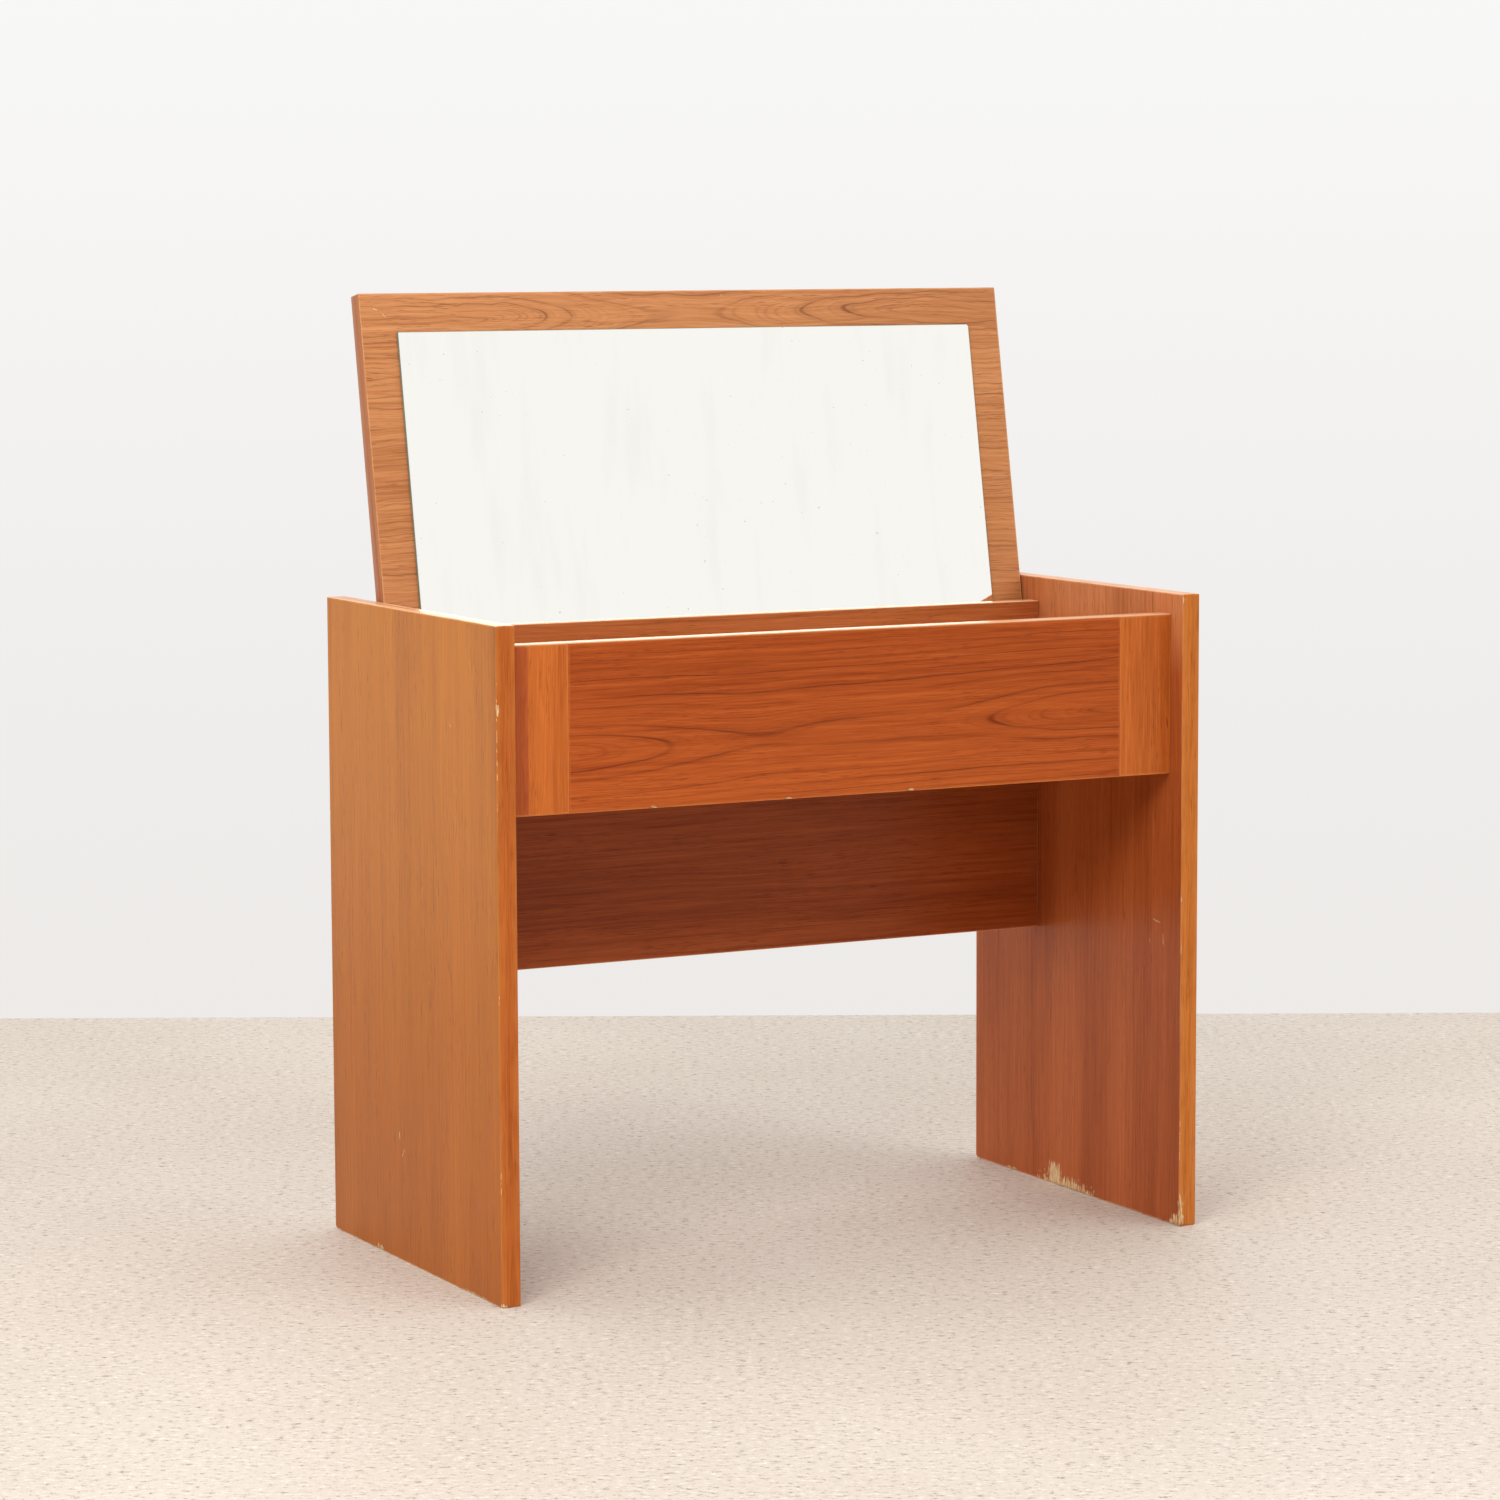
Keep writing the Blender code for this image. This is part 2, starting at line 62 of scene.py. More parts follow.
# Points stand this far apart along a board's edges. Rings of points lie this far in from the
# edges, for wear to show on, but never further in than this part of the board's narrower side.
EDGE_STEP = 3.0 * MM
RIM_INSETS = (30 * MM, 24 * MM, 18 * MM, 13 * MM, 9 * MM, 6 * MM, 4 * MM, 2 * MM)
INNERMOST = 0.45

# Points and edges closer or shorter than this are one point, or none.
SAME_POINT = 1e-6
NO_LENGTH = 1e-7

# An edge between faces that turn more than this is shown as an edge.
SHARP_TURN = math.radians(40)

# How much of the apron's height its lower and upper edges show. The upper one takes the pale top-edge
# tone, a painted highlight along the apron's top.
EDGE_STRIPS = {"bottom": 0.9 * MM, "top": 1.2 * MM}

# Chips: how deep they go, the waves a metre in their depth, the strength and waves a metre of
# their ragged outline, and where they start to fade and end, in reaches from their middle.
CHIP_DEPTH = 0.9 * MM
CHIP_WAVES = 420
RAGGED_WAVES = ((0.35, 260), (0.25, 900))
CHIP_FADE = 1.25
CHIP_END = 2

HINGE = frame["joints"][0]
PIVOT = Vector(HINGE["pos_m"])
LID_TURN = math.radians(HINGE["range_deg"][1])

X, Y, Z = 0, 1, 2


# ---------------------------------------------------------------- small helpers

def linear(hex_colour):
    """An sRGB hex colour as the linear RGBA that a shader takes."""
    channels = []
    for start in (1, 3, 5):
        value = int(hex_colour[start:start + 2], 16) / 255
        channels.append(value / 12.92 if value <= 0.04045 else ((value + 0.055) / 1.055) ** 2.4)
    return (*channels, 1.0)


def node(tree, kind, *feeds, named=None, **settings):
    """Add a node and give back its first live output. The settings are its properties. The feeds
    are sockets or values for its live inputs in order, and named gives others by their names."""
    made = tree.nodes.new("ShaderNode" + kind)
    for name, value in settings.items():
        setattr(made, name, value)
    live = [socket for socket in made.inputs if socket.enabled]
    pairs = list(zip(live, feeds))
    pairs += [(made.inputs[name], value) for name, value in (named or {}).items()]
    for socket, value in pairs:
        if isinstance(value, bpy.types.NodeSocket):
            tree.links.new(value, socket)
        else:
            socket.default_value = value
    return next(socket for socket in made.outputs if socket.enabled)


# Settings shared by many nodes: ranges that ease in and out, and mixes of colours.
EASED = {"interpolation_type": "SMOOTHSTEP"}
COLOURS = {"data_type": "RGBA"}


def per_metre(millimetres):
    """How many features of this size fit in a metre."""
    return 1000 / millimetres


def around(boxes):
    """The lowest and highest corner of a box around some boxes."""
    low = Vector(min(box[0][axis] for box in boxes) for axis in (X, Y, Z))
    high = Vector(max(box[1][axis] for box in boxes) for axis in (X, Y, Z))
    return low, high


def corners(*nodes):
    """The lowest and highest corner of some CAD nodes at rest."""
    return around([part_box(name) for name in nodes])


def closed_lid_corners(*nodes):
    """The corners of some CAD nodes of the lid, in the hinge's frame with the lid lying closed."""
    turn = Matrix.Rotation(LID_TURN, 3, "X")
    points = []
    for name in nodes:
        points += [turn @ (vert.co - PIVOT) for vert in frame["nodes"][name].data.vertices]
    return around([(point, point) for point in points])


# ---------------------------------------------------------------- boards

def side_points(low, high):
    """Evenly spaced places along one straight side, without its last point."""
    count = max(1, round(abs(high - low) / EDGE_STEP))
    return [low + (high - low) * step / count for step in range(count)]


def corner_points(centre, start, radius):
    """Points along a quarter circle, without its last point."""
    points = []
    for step in range(CORNER_STEPS):
        angle = start + math.pi / 2 * step / CORNER_STEPS
        points.append((centre[0] + radius * math.cos(angle), centre[1] + radius * math.sin(angle)))
    return points


def board_outline(low, high, radii):
    """The outline of a board, anticlockwise from its low left corner. The radii are low left, low
    right, high right and high left."""
    low_left, low_right, high_right, high_left = radii
    points = corner_points((low[0] + low_left, low[1] + low_left), math.pi, low_left)
    points += [(u, low[1]) for u in side_points(low[0] + low_left, high[0] - low_right)]
    points += corner_points((high[0] - low_right, low[1] + low_right), -math.pi / 2, low_right)
    points += [(high[0], v) for v in side_points(low[1] + low_right, high[1] - high_right)]
    points += corner_points((high[0] - high_right, high[1] - high_right), 0, high_right)
    points += [(u, high[1]) for u in side_points(high[0] - high_right, low[0] + high_left)]
    points += corner_points((low[0] + high_left, high[1] - high_left), math.pi / 2, high_left)
    points += [(low[0], v) for v in side_points(high[1] - high_left, low[1] + low_left)]
    return points


def board_rings(thickness, arris):
    """The rings of points that wrap a board from one face to the other, as (inset, height, whether
    on the edge)."""
    rings = [(inset, 0, False) for inset in RIM_INSETS]
    for turn in ARRIS_TURNS:
        angle = math.radians(turn)
        rings.append((arris * (1 - math.cos(angle)), arris * (1 - math.sin(angle)), True))
    middle = [(0, thickness / 2, True)]
    far_side = [(inset, thickness - height, on_edge) for inset, height, on_edge in reversed(rings)]
    return rings + middle + far_side


def wear_at(point, places):
    """How worn the surface is at a point, from 0 to 1. A place is its centre, its reach along each
    axis and its strength."""
    worn = 0
    ragged = sum(strength * noise.noise(point * waves) for strength, waves in RAGGED_WAVES)
    for centre, reach, strength in places:
        offset = point - Vector(centre)
        distance = math.sqrt(sum((offset[axis] / reach[axis]) ** 2 for axis in range(3)))
        if distance < CHIP_END:
            worn = max(worn, strength * min(1, max(0, CHIP_FADE - distance + ragged)))
    return worn


def chipped(point, low, high, arris, worn):
    """A point on a board's worn edge, eaten away towards the board's middle by an uneven depth."""
    middle = (low + high) / 2
    inward = Vector((0, 0, 0))
    for axis in (X, Y, Z):
        if min(point[axis] - low[axis], high[axis] - point[axis]) < 3 * arris:
            inward[axis] = math.copysign(1, middle[axis] - point[axis])
    return point + inward * CHIP_DEPTH * worn * abs(noise.noise(point * CHIP_WAVES))


def board(name, low, high, axes, materials, pick, radii=(CORNER,) * 4, arris=ARRIS, places=()):
    """A board with softened edges. The axes are the two along its face and the one through it, and
    pick gives a face's material from its normal. The layer called worn says where the lacquer is
    gone, and the one called rubbed where the edges have been rubbed pale."""
    u_axis, v_axis, w_axis = axes
    flat_low = (low[u_axis], low[v_axis])
    flat_high = (high[u_axis], high[v_axis])
    outline = board_outline(flat_low, flat_high, radii)
    narrower = min(flat_high[0] - flat_low[0], flat_high[1] - flat_low[1])
    thickness = high[w_axis] - low[w_axis]
    bm = bmesh.new()
    worn_layer = bm.verts.layers.float.new("worn")
    rubbed_layer = bm.verts.layers.float.new("rubbed")
    rings = []
    for inset, height, on_edge in board_rings(thickness, arris):
        inset = min(inset, INNERMOST * narrower)
        ring = []
        for u, v in outline:
            point = Vector((0, 0, 0))
            point[u_axis] = min(max(u, flat_low[0] + inset), flat_high[0] - inset)
            point[v_axis] = min(max(v, flat_low[1] + inset), flat_high[1] - inset)
            point[w_axis] = low[w_axis] + height
            worn = wear_at(point, places) if inset < RIM_INSETS[0] else 0
            if on_edge and worn > 0:
                point = chipped(point, low, high, arris, worn)
            vert = bm.verts.new(point)
            vert[worn_layer] = worn
            vert[rubbed_layer] = 1.0 if on_edge and height != thickness / 2 else 0.0
            ring.append(vert)
        rings.append(ring)
    for inner, outer in zip(rings, rings[1:]):
        for index in range(len(outline)):
            after = (index + 1) % len(outline)
            bm.faces.new((inner[index], inner[after], outer[after], outer[index]))
    bm.faces.new(rings[0])
    bm.faces.new(list(reversed(rings[-1])))
    bmesh.ops.remove_doubles(bm, verts=bm.verts[:], dist=SAME_POINT)
    bmesh.ops.dissolve_degenerate(bm, edges=bm.edges[:], dist=NO_LENGTH)
    bmesh.ops.recalc_face_normals(bm, faces=bm.faces[:])
    for face in bm.faces:
        face.material_index = pick(face.normal)
        face.smooth = True
    return add_piece(name, bm, materials)


def add_piece(name, bm, materials):
    """Turn a bmesh into a shown piece with its materials."""
    mesh = bpy.data.meshes.new(name)
    bm.to_mesh(mesh)
    bm.free()
    for material in materials:
        mesh.materials.append(material)
    mesh.set_sharp_from_angle(angle=SHARP_TURN)
    piece = bpy.data.objects.new(name, mesh)
    bpy.context.scene.collection.objects.link(piece)
    return piece


# ---------------------------------------------------------------- finishes

# The middle tone of each board's teak. Its early wood is lighter and its late wood darker.
TEAK_TONES = {
    "outer_gable": "#C0731E",
    # The inner faces' tone is their pale top, a painted sheen; a tint darkens their lower part as painted
    # shade.
    "inner_gable": "#CD7F4E",
    "left_edge": "#B55D23",
    "right_edge": "#BE6928",
    # The top edges' tone is pale: a painted highlight standing in for the bright glancing reflection
    # along them.
    "top_edge_highlight": "#E1A171",
    "stile": "#C3672A",
    "field": "#B55520",
    # The back panel's tone is its pale top, painted light and sheen above the apron; the tints below
    # paint shade and light.
    "back": "#BB6939",
    # The tone of the lid's inner face and side edges is paler partly in the wood and partly as painted
    # sheen.
    "lid": "#CE8A56",
    "lid_top": "#C27A38",
    "lid_edge": "#AB6538",
}
LIGHTER = (1.22, 1.34, 1.5)
DARKER = (0.74, 0.64, 0.55)
LATE_WOOD = (0.26, 0.14, 0.1)
RUBBED = (1.25, 1.6, 2.2)

# Bare wood under the lacquer, where it is chipped: its dark and its pale fibres.
BARE_WOOD = ("#BC834B", "#EAD0A4")


def toned(tone, factors):
    """A middle tone made lighter or darker, channel by channel."""
    colour = linear(TEAK_TONES[tone])
    return (*(channel * factor for channel, factor in zip(colour, factors)), 1.0)


def grain_space(tree, axes, seed):
    """Distances along the grain, across it and into the wood, in metres."""
    place = node(tree, "TexCoord").node.outputs["Object"]
    parts = node(tree, "SeparateXYZ", place).node.outputs
    along, across, depth = (parts[axis] for axis in axes)
    return along, across, node(tree, "Math", depth, seed, operation="ADD")


def stretched_noise(tree, space, length, width, detail=2.0, rough=0.5):
    """Noise drawn out along the grain, with features of a length and a width in millimetres."""
    along, across, depth = space
    parts = []
    for source, size in ((along, length), (across, width), (depth, width)):
        parts.append(node(tree, "Math", source, per_metre(size), operation="MULTIPLY"))
    vector = node(tree, "CombineXYZ", *parts)
    return node(tree, "TexNoise", vector, 1.0, detail, rough)


def centred(tree, value, reach):
    """Noise moved to lie around zero, and scaled."""
    moved = node(tree, "Math", value, 0.5, operation="SUBTRACT")
    return node(tree, "Math", moved, reach, operation="MULTIPLY")


def waved(tree, space, reach):
    """Grain that strays from straight by a reach in millimetres."""
    along, across, depth = space
    slow = centred(tree, stretched_noise(tree, space, 210, 60, 1.0), 4 * reach * MM)
    quick = centred(tree, stretched_noise(tree, space, 60, 22, 1.0), 1.2 * reach * MM)
    across = node(tree, "Math", across, slow, operation="ADD")
    across = node(tree, "Math", across, quick, operation="ADD")
    return along, across, depth


def growth_rings(tree, space, figure):
    """Dark late-wood lines, where the cut board meets the trunk's rings. A ring shows wherever its
    distance from the trunk's middle is right. Where the cut runs deeper into the trunk, the inner
    rings close into arches."""
    along, across, _ = space
    lean = node(tree, "Math", along, figure["lean"], figure["heart"], operation="MULTIPLY_ADD")
    offset = node(tree, "Math", across, lean, operation="SUBTRACT")
    for length, width, reach in figure["wander"]:
        wave = centred(tree, stretched_noise(tree, space, length, width, 1.0), 2 * reach * MM)
        offset = node(tree, "Math", offset, wave, operation="ADD")
    entering = node(tree, "MapRange", along, *figure["deepens"], 0, figure["deep"] * MM, **EASED)
    leaving = node(tree, "MapRange", along, *figure["shallows"], 0, figure["rise"] * MM, **EASED)
    depth = node(tree, "Math", entering, leaving, operation="SUBTRACT")
    uneven = centred(tree, stretched_noise(tree, space, 300, 900, 1.0), 2 * figure["uneven"] * MM)
    depth = node(tree, "Math", depth, uneven, operation="ADD")
    depth_squared = node(tree, "Math", depth, depth, operation="MULTIPLY")
    squares = node(tree, "Math", offset, offset, depth_squared, operation="MULTIPLY_ADD")
    radius = node(tree, "Math", squares, operation="SQRT")
    lines = ring_lines(tree, space, radius, figure["spacing"], RING_WIDTH)
    fine = ring_lines(tree, space, radius, figure["spacing"] / FINE_RINGS, 2 * RING_WIDTH)
    return node(tree, "Math", fine, 0.3, lines, operation="MULTIPLY_ADD")


def ring_lines(tree, space, radius, spacing, width):
    """One line for each ring, some much darker than others, fading in and out along its length."""
    turns = node(tree, "Math", radius, per_metre(spacing), operation="MULTIPLY")
    which = node(tree, "Math", turns, operation="FLOOR")
    chance = node(tree, "TexWhiteNoise", which, noise_dimensions="1D")
    chance = node(tree, "Math", chance, 1.5, operation="POWER")
    strength = node(tree, "Math", chance, 0.8, 0.2, operation="MULTIPLY_ADD")
    part = node(tree, "Math", turns, operation="FRACT")
    aside = node(tree, "Math", part, 0.5, operation="SUBTRACT")
    aside = node(tree, "Math", aside, operation="ABSOLUTE")
    line = node(tree, "MapRange", aside, 0.0, width, 1.0, 0.0, **EASED)
    shade = node(tree, "MapRange", aside, 0.0, 0.5, 0.28, 0.0, **EASED)
    line = node(tree, "Math", line, shade, operation="MAXIMUM")
    fade = stretched_noise(tree, space, 220, 12)
    fade = node(tree, "MapRange", fade, 0.32, 0.56, 0.4, 1.0, **EASED)
    line = node(tree, "Math", line, strength, operation="MULTIPLY")
    return node(tree, "Math", line, fade, operation="MULTIPLY")


def scratch(tree, space, place, length, width, tilt):
    """Where one short scratch lies: its place along and across the grain, its length and width, and
    its tilt from the grain in degrees."""
    along, across, _ = space
    turn = math.radians(tilt)
    ahead = node(tree, "Math", along, place[0], operation="SUBTRACT")
    aside = node(tree, "Math", across, place[1], operation="SUBTRACT")
    run = node(tree, "Math", ahead, math.cos(turn), operation="MULTIPLY")
    run = node(tree, "Math", aside, math.sin(turn), run, operation="MULTIPLY_ADD")
    run = node(tree, "Math", run, operation="ABSOLUTE")
    off = node(tree, "Math", aside, math.cos(turn), operation="MULTIPLY")
    off = node(tree, "Math", ahead, -math.sin(turn), off, operation="MULTIPLY_ADD")
    stray = centred(tree, stretched_noise(tree, space, 6, 6, 1.0), 2 * width)
    off = node(tree, "Math", off, stray, operation="ADD")
    off = node(tree, "Math", off, operation="ABSOLUTE")
    narrow = node(tree, "MapRange", off, width * 0.35, width * 0.75, 1.0, 0.0, **EASED)
    short = node(tree, "MapRange", run, length * 0.3, length * 0.55, 1.0, 0.0, **EASED)
    return node(tree, "Math", narrow, short, operation="MULTIPLY")


# The figure of a board that is cut so that no rings show on it.
STRAIGHT = None

# How much of a ring's spacing its dark line takes, and how many fine rings stand in one coarse one.
RING_WIDTH = 0.12
FINE_RINGS = 3.7

# The lacquer: its roughness, strength of reflection, and how far the grain shows through it as
# relief, on the faces and on the polished top edges.
SATIN = {"rough": 0.30, "level": 0.15, "relief": 0.35}
POLISHED = {"rough": 0.3, "level": 0.1, "relief": 0.04}


def teak(name, axes, tone_name, seed, figure=STRAIGHT, bands=0.5, streaks=0.5, wave=1.0, gloss=SATIN,
         scratches=(), shades=()):
    """Teak under thin lacquer. The grain shows as long streaks, the open pores as short dark
    dashes, and the lacquer gives a soft shine that is strongest at a low angle. Real pores are a
    fifth of a millimetre wide, too fine to show, so they are drawn wider. The axes are along the
    grain, across it and into the wood."""
    material = bpy.data.materials.new(name)
    material.use_nodes = True
    tree = material.node_tree
    shader = tree.nodes["Principled BSDF"]
    line_tone = toned(tone_name, LATE_WOOD)
    straight = grain_space(tree, axes, seed)
    space = waved(tree, straight, wave)

    # Broad bands, streaks and fibres, from dark to light wood.
    broad = stretched_noise(tree, space, 900, 60, 1.0)
    streak = stretched_noise(tree, space, 240, 5.5, 3.0, 0.6)
    fibre = stretched_noise(tree, space, 60, 1.5, 2.0, 0.65)
    tone = node(tree, "Math", centred(tree, broad, bands * 2.2), 0.5, operation="ADD")
    tone = node(tree, "Math", tone, centred(tree, streak, streaks * 2.0), operation="ADD")
    tone = node(tree, "Math", tone, centred(tree, fibre, streaks * 2.4), operation="ADD")
    colour = node(tree, "ValToRGB", tone)
    stops = colour.node.color_ramp.elements
    stops[0].position, stops[0].color = 0.1, toned(tone_name, DARKER)
    stops[1].position, stops[1].color = 0.9, toned(tone_name, LIGHTER)
    stops.new(0.5).color = linear(TEAK_TONES[tone_name])

    # Open pores, which gather in clusters.
    dashes = stretched_noise(tree, space, 18, 0.9, 1.0)
    dashes = node(tree, "MapRange", dashes, 0.58, 0.72, **EASED)
    clusters = stretched_noise(tree, space, 140, 18)
    clusters = node(tree, "MapRange", clusters, 0.36, 0.6, **EASED)
    pores = node(tree, "Math", dashes, clusters, operation="MULTIPLY")
    dark_pores = node(tree, "Math", pores, 0.5, operation="MULTIPLY")
    colour = node(tree, "Mix", dark_pores, colour, line_tone, **COLOURS)

    # The growth rings' dark lines, and tints that come in from one place to another. On the inner faces,
    # the back panel and the left stile these tints are painted sheen, light, shade and shadow.
    if figure:
        lines = growth_rings(tree, straight, figure)
        lines = node(tree, "Math", lines, figure["strength"], operation="MULTIPLY")
        colour = node(tree, "Mix", lines, colour, line_tone, **COLOURS)
    for way, start, end, factors in shades:
        wander = centred(tree, broad, end - start)
        place = node(tree, "Math", straight[way], wander, operation="ADD")
        amount = node(tree, "MapRange", place, start, end, **EASED)
        colour = node(tree, "Mix", amount, colour, factors, **COLOURS, blend_type="MULTIPLY")

    # Edges rubbed paler in patches.
    rubbed = node(tree, "Attribute", attribute_name="rubbed").node.outputs["Fac"]
    patchy = stretched_noise(tree, straight, 40, 12)
    patchy = node(tree, "MapRange", patchy, 0.3, 0.6, 0.25, 0.75, **EASED)
    rubbed = node(tree, "Math", rubbed, patchy, operation="MULTIPLY")
    colour = node(tree, "Mix", rubbed, colour, toned(tone_name, RUBBED), **COLOURS)

    # Chips and scratches down to the bare wood, splintered along the grain.
    worn = node(tree, "Attribute", attribute_name="worn").node.outputs["Fac"]
    splinters = stretched_noise(tree, straight, 13, 1.5, 3.0, 0.6)
    worn = node(tree, "Math", worn, 0.75, operation="SUBTRACT")
    worn = node(tree, "Math", splinters, 1.5, worn, operation="MULTIPLY_ADD")
    worn = node(tree, "MapRange", worn, 0.42, 0.62, **EASED)
    for mark in scratches:
        worn = node(tree, "Math", worn, scratch(tree, straight, *mark), operation="MAXIMUM")
    depth_tone = node(tree, "MapRange", splinters, 0.35, 0.65, **EASED)
    core = node(tree, "Mix", depth_tone, *(linear(tone) for tone in BARE_WOOD), **COLOURS)
    colour = node(tree, "Mix", worn, colour, core, **COLOURS)

    # The lacquer's shine, dull where it is gone, and the grain's relief under it.
    rough = node(tree, "Math", centred(tree, streak, 0.14), gloss["rough"], operation="ADD")
    rough = node(tree, "Math", worn, 0.35, rough, operation="MULTIPLY_ADD")
    relief = node(tree, "Math", fibre, 0.35, operation="MULTIPLY")
    relief = node(tree, "Math", pores, -1.0, relief, operation="MULTIPLY_ADD")
    relief = node(tree, "Math", worn, -1.5, relief, operation="MULTIPLY_ADD")
    tree.links.new(colour, shader.inputs["Base Color"])
    tree.links.new(rough, shader.inputs["Roughness"])
    shader.inputs["Specular IOR Level"].default_value = gloss["level"]
    raise_surface(tree, relief, gloss["relief"], 0.12 * MM)
    return material


def raise_surface(tree, height, strength, distance):
    """Let a height show as relief on the finish."""
    bump = node(tree, "Bump", strength, distance, named={"Height": height})
    tree.links.new(bump, tree.nodes["Principled BSDF"].inputs["Normal"])


def plain_finish(name, dark, light, rough, metallic, size, stretch=1.0):
    """Fine mottling between two tones, for the small metal and bare wood pieces. Its spots have a
    size in millimetres and are drawn out along the grain by the stretch."""
    material = bpy.data.materials.new(name)
    material.use_nodes = True
    tree = material.node_tree
    shader = tree.nodes["Principled BSDF"]
    space = grain_space(tree, (X, Y, Z), 0.0)
    mottle = stretched_noise(tree, space, size * stretch, size, 3.0)
    colour = node(tree, "Mix", mottle, linear(dark), linear(light), **COLOURS)
    roughness = node(tree, "Math", mottle, 0.2, rough - 0.1, operation="MULTIPLY_ADD")
    tree.links.new(colour, shader.inputs["Base Color"])
    tree.links.new(roughness, shader.inputs["Roughness"])
    shader.inputs["Metallic"].default_value = metallic
    raise_surface(tree, mottle, 0.2, 0.05 * MM)
    return material


def silvered_glass():
    """A flat silvered mirror, a little dusty and smudged: it shows as its surroundings, faintly
    dulled in streaks, with a few dark specks where the silver has gone."""
    material = bpy.data.materials.new("silvered_glass")
    material.use_nodes = True
    tree = material.node_tree
    shader = tree.nodes["Principled BSDF"]
    space = grain_space(tree, (Y, X, Z), 0.0)
    smears = stretched_noise(tree, space, 160, 30, 3.0)
    smears = node(tree, "MapRange", smears, 0.5, 0.75, 0.0, 0.35, **EASED)
    dust = stretched_noise(tree, space, 9, 9, 4.0)
    specks = stretched_noise(tree, space, 5, 5, 1.0)
    specks = node(tree, "MapRange", specks, 0.775, 0.82, 0.0, 0.4, **EASED)
    colour = node(tree, "Mix", smears, linear("#FDFDFA"), linear("#F2F2EE"), **COLOURS)
    colour = node(tree, "Mix", specks, colour, linear("#9C9C96"), **COLOURS)
    roughness = node(tree, "Math", dust, 0.03, 0.01, operation="MULTIPLY_ADD")
    tree.links.new(colour, shader.inputs["Base Color"])
    tree.links.new(roughness, shader.inputs["Roughness"])
    shader.inputs["Metallic"].default_value = 1.0
    return material


def glass_edge():
    """The cut and ground edge of float glass, a dull grey green."""
    finish = plain_finish("ground_glass_edge", "#6E7B72", "#96A49A", 0.6, 0.0, 2.0)
    finish.node_tree.nodes["Principled BSDF"].inputs["Specular IOR Level"].default_value = 0.2
    return finish


# Rings seen in each figured board: where the trunk's middle lies across the grain, how it leans,
# where along the grain the cut runs deeper into the trunk and shallower again, and by how much, and
# the rings' spacing. Places are in metres; the sizes are in millimetres. The wander lists waves in
# the rings as (length, width, reach). Where a cut never runs shallower, that lies past the board's end.
APRON_FIGURE = {
    "heart": 0.541, "lean": 0.02, "wander": ((330, 60, 9), (90, 25, 2.2), (22, 9, 0.5)),
    "deepens": (-0.44, -0.08), "deep": 27, "shallows": (0.06, 0.36), "rise": 26,
    "uneven": 7, "spacing": 8, "strength": 0.85,
}
LID_FIGURE = {
    "heart": -0.302, "lean": 0.0, "wander": ((260, 70, 12), (48, 26, 4.5), (16, 8, 0.9)),
    "deepens": (0.0, 0.30), "deep": -24, "shallows": (-0.30, -0.04), "rise": -30,
    "uneven": 9, "spacing": 6, "strength": 0.8,
}
BACK_FIGURE = {
    "heart": 0.18, "lean": 0.0, "wander": ((400, 60, 10), (90, 25, 2)),
    "deepens": (-0.4, 0.4), "deep": 40, "shallows": (1, 2), "rise": 1,
    "uneven": 20, "spacing": 7, "strength": 0.4,
}
GABLE_FIGURE = {
    "heart": 0.5, "lean": 0.0, "wander": ((500, 60, 6), (120, 25, 1)),
    "deepens": (-0.4, 0.4), "deep": 20, "shallows": (1, 2), "rise": 1,
    "uneven": 20, "spacing": 8, "strength": 0.2,
}


# ---------------------------------------------------------------- the table

# Worn and chipped places on the gables' edges, in millimetres: the face whose edge is worn, the
# place back from the gable's front edge and up from its foot, the reach in x, y and z, and then how
# bad it is.
WORN_PLACES = {
    "left": [
        ("outer", (0, 610), (0.9, 0.9, 4), 0.8),
        ("outer", (0, 584), (1.6, 1.8, 7), 1.0),
        ("outer", (0, 560), (0.9, 0.9, 4), 0.85),
        ("outer", (0, 530), (0.9, 0.9, 11), 0.85),
        ("outer", (0, 490), (0.8, 0.8, 5), 0.85),
        ("outer", (0, 300), (0.7, 0.7, 9), 0.75),
        ("outer", (0, 120), (0.7, 0.7, 8), 0.75),
        ("outer", (300.5, 0), (3, 11, 7), 1.0),
        ("outer", (60.5, 0), (2, 38, 2.5), 0.9),
        ("outer", (0, 0), (4, 5, 5), 0.9),
        ("inner", (0, 665), (3, 3, 1.2), 0.8),
        ("outer", (421, 440), (1.5, 1.5, 3), 0.8),
    ],
    "right": [
        ("inner", (225.5, 0), (4, 66, 14), 0.9),
        ("inner", (250.5, 6), (3, 20, 21), 0.9),
        ("inner", (340.5, 0), (3, 18, 5), 0.9),
        ("inner", (90.5, 0), (2, 40, 2), 0.8),
        ("inner", (7.5, 0), (4, 14, 14), 1.0),
        ("inner", (0, 15), (2, 3, 22), 0.95),
        ("inner", (0, 90), (0.8, 0.8, 18), 0.75),
        ("inner", (0, 295), (0.9, 0.9, 9), 0.85),
        ("inner", (0, 345), (0.8, 0.8, 5), 0.8),
        ("inner", (0, 660), (1.2, 1.2, 4), 0.9),
        ("outer", (0, 0), (3, 3, 3), 0.9),
    ],
}

# Scratches: place along and across the grain in metres, then length, width and tilt in degrees.
# On a gable the grain runs up from the floor; on the lid the place is counted from the pivots.
SCRATCHES = {
    "left": [
        ((0.560, -0.100), 7 * MM, 1.3 * MM, 60),
        ((0.128, 0.037), 9 * MM, 1.0 * MM, 8),
        ((0.112, 0.028), 12 * MM, 0.8 * MM, -35),
    ],
    "right": [
        ((0.318, -0.163), 16 * MM, 0.9 * MM, 80),
        ((0.300, -0.176), 13 * MM, 0.9 * MM, 4),
        ((0.296, -0.150), 5 * MM, 0.8 * MM, 30),
    ],
    "lid": [
        ((-0.362, -0.312), 9 * MM, 0.8 * MM, 20),
        ((-0.351, -0.305), 7 * MM, 0.7 * MM, 50),
        ((-0.356, -0.298), 5 * MM, 0.7 * MM, -15),
        ((0.040, -0.322), 4 * MM, 0.9 * MM, 70),
    ],
}
